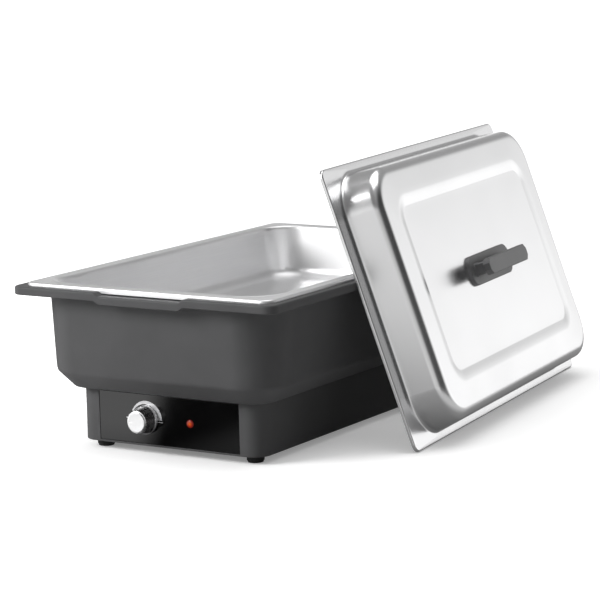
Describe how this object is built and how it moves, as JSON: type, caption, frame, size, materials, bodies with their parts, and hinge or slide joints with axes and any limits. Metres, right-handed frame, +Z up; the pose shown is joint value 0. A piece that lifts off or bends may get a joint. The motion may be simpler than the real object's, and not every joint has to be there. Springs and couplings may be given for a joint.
{
  "type": "electric chafing dish",
  "caption": "Electric chafing dish: matte plastic water-bath housing on a plinth with a dial, lift-out steel food pan, and a loose domed steel lid with a bar handle leaning on its rim.",
  "frame": {"origin": "on the table plane, at the middle of the outline of the dish with its lid leaning beside it", "axes": "+Z up; the control panel faces -Y and the dish is longest along Y; +X is to the right of someone facing the panel, the side the lid leans on"},
  "size_m": [0.4463, 0.7162, 0.3155],
  "materials": {
    "housing_plastic": "fine matte texture",
    "fastener_steel": "zinc plated",
    "cover_steel": "galvanised sheet",
    "foot_rubber": "matte",
    "panel_gloss": "gloss black",
    "scale_print": "silver print",
    "lens_red": "clear red",
    "inner_plastic": "natural",
    "brass": "plain",
    "element_steel": "dull",
    "gasket_rubber": "matte",
    "copper": "plain copper",
    "black_plastic": "matte",
    "wire_brown": "sleeved",
    "wire_black": "sleeved",
    "wire_blue": "sleeved",
    "wire_green": "sleeved",
    "knob_chrome": "bright plated",
    "knob_face": "spun face",
    "pan_steel": "satin stainless",
    "lid_steel": "satin stainless",
    "handle_plastic": "fine matte texture"
  },
  "bodies": {
    "dish": {"tub_housing": "housing_plastic", "base_plinth": "housing_plastic", "plinth_screws": "fastener_steel", "bottom_cover": "cover_steel", "cover_screws": "fastener_steel", "foot_front_left": "foot_rubber", "foot_front_right": "foot_rubber", "foot_back_left": "foot_rubber", "foot_back_right": "foot_rubber", "foot_screws": "fastener_steel", "foot_nuts": "fastener_steel", "control_panel": "panel_gloss", "dial_scale": "scale_print", "pilot_lens": "lens_red", "pilot_lamp": "inner_plastic", "thermostat_body": "inner_plastic", "thermostat_nut": "brass", "heater_element": "element_steel", "element_gaskets": "gasket_rubber", "element_nuts": "brass", "sensor_bulb": "copper", "capillary_tube": "copper", "thermal_cutout": "black_plastic", "terminal_block": "inner_plastic", "supply_wire": "wire_brown", "heater_wire": "wire_black", "return_wire": "wire_blue", "pilot_wire": "wire_black", "earth_wire": "wire_green", "cord_gland": "black_plastic", "gland_nut": "black_plastic"},
    "knob": {"knob_shaft": "brass", "knob_body": "knob_chrome", "knob_cap": "knob_face"},
    "food_pan": {"food_pan": "pan_steel"},
    "lid": {"lid_shell": "lid_steel", "handle_base": "handle_plastic", "handle_grip": "handle_plastic", "handle_screws": "fastener_steel", "handle_washers": "fastener_steel"}
  },
  "joints": [
    {"name": "knob_turn", "type": "hinge", "parent": "dish", "child": "knob", "pos_m": [-0.07816, -0.30512, 0.04], "axis": [0, 1, 0], "range_deg": [0, 180]},
    {"name": "lid_away", "type": "slide", "parent": "dish", "child": "lid", "axis": [0.9362, 0.115, 0.3322], "range_m": [0, 0.35]},
    {"name": "pan_lift", "type": "slide", "parent": "dish", "child": "food_pan", "axis": [0, 0, 1], "range_m": [0, 0.12]}
  ],
  "couplings": [
    {"joint": "pan_lift", "follows": "lid_away", "ratio": 0.34}
  ]
}
